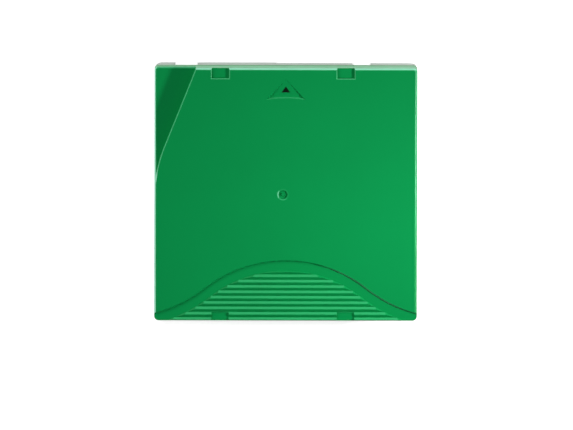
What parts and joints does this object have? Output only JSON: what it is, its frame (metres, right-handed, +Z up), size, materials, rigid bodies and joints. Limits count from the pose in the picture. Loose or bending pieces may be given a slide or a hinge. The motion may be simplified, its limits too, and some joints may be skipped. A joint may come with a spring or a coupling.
{
  "type": "data tape cartridge",
  "caption": "Flat square single-reel tape cartridge with a two-tone case, sprung side door, locked reel, leader pin, rear grip ribs and write-protect switch.",
  "frame": {"origin": "centre of the case's outline on the surface it lies on, under its feet", "axes": "+X to the right across the case seen from above with the insertion end away, +Y the insertion direction, +Z up through the top shell"},
  "size_m": [0.1054, 0.102, 0.0215],
  "materials": {
    "green_shell": "fine matt moulded texture, green",
    "grey_shell": "fine matt moulded texture, light grey",
    "grey_door": "matt, light grey",
    "hub_plastic": "satin, off-white",
    "clear_flange": "gloss, translucent",
    "tape": "smooth wound edge, nearly black",
    "steel_plate": "stamped steel, satin",
    "steel_pin": "turned steel",
    "spring_steel": "drawn spring wire and strip",
    "screw_steel": "zinc plated",
    "brake_plastic": "satin, off-white",
    "spider_plastic": "satin, dark grey",
    "clip_plastic": "satin, dark grey",
    "switch_plastic": "satin, red",
    "board_laminate": "solder mask, dark green",
    "copper": "copper track",
    "chip_resin": "matt, black"
  },
  "bodies": {
    "case": {"top_shell": "green_shell", "bottom_shell": "grey_shell", "case_screws": "screw_steel", "leader_tape": "tape", "leader_pin": "steel_pin", "leader_clip": "clip_plastic", "pin_spring_lower": "spring_steel", "pin_spring_upper": "spring_steel", "memory_board": "board_laminate", "memory_antenna": "copper", "memory_chip": "chip_resin", "brake_spring": "spring_steel", "door_spring": "spring_steel"},
    "reel": {"reel_hub": "hub_plastic", "upper_flange": "clear_flange", "tape_pack": "tape", "clutch_plate": "steel_plate"},
    "spider": {"release_spider": "spider_plastic"},
    "brake": {"brake_button": "brake_plastic"},
    "door": {"access_door": "grey_door"},
    "switch": {"write_protect_switch": "switch_plastic"}
  },
  "joints": [
    {"name": "door_slide", "type": "slide", "parent": "case", "child": "door", "axis": [0, -1, 0], "range_m": [0, 0.0214], "stiffness_N_per_m": 30, "springref_m": -0.01, "deforming": ["door_spring"]},
    {"name": "write_protect_slide", "type": "slide", "parent": "case", "child": "switch", "axis": [1, 0, 0], "range_m": [0, 0.0056]},
    {"name": "reel_spin", "type": "hinge", "parent": "case", "child": "reel", "pos_m": [-0.0011, 0, 0], "axis": [0, 0, 1], "continuous": true},
    {"name": "brake_lift", "type": "slide", "parent": "case", "child": "brake", "axis": [0, 0, 1], "range_m": [0, 0.0018], "stiffness_N_per_m": 800, "springref_m": -0.004, "deforming": ["brake_spring"]},
    {"name": "spider_lift", "type": "slide", "parent": "reel", "child": "spider", "axis": [0, 0, 1], "range_m": [0, 0.0018]}
  ],
  "couplings": [
    {"joint": "spider_lift", "follows": "brake_lift", "ratio": 1}
  ]
}
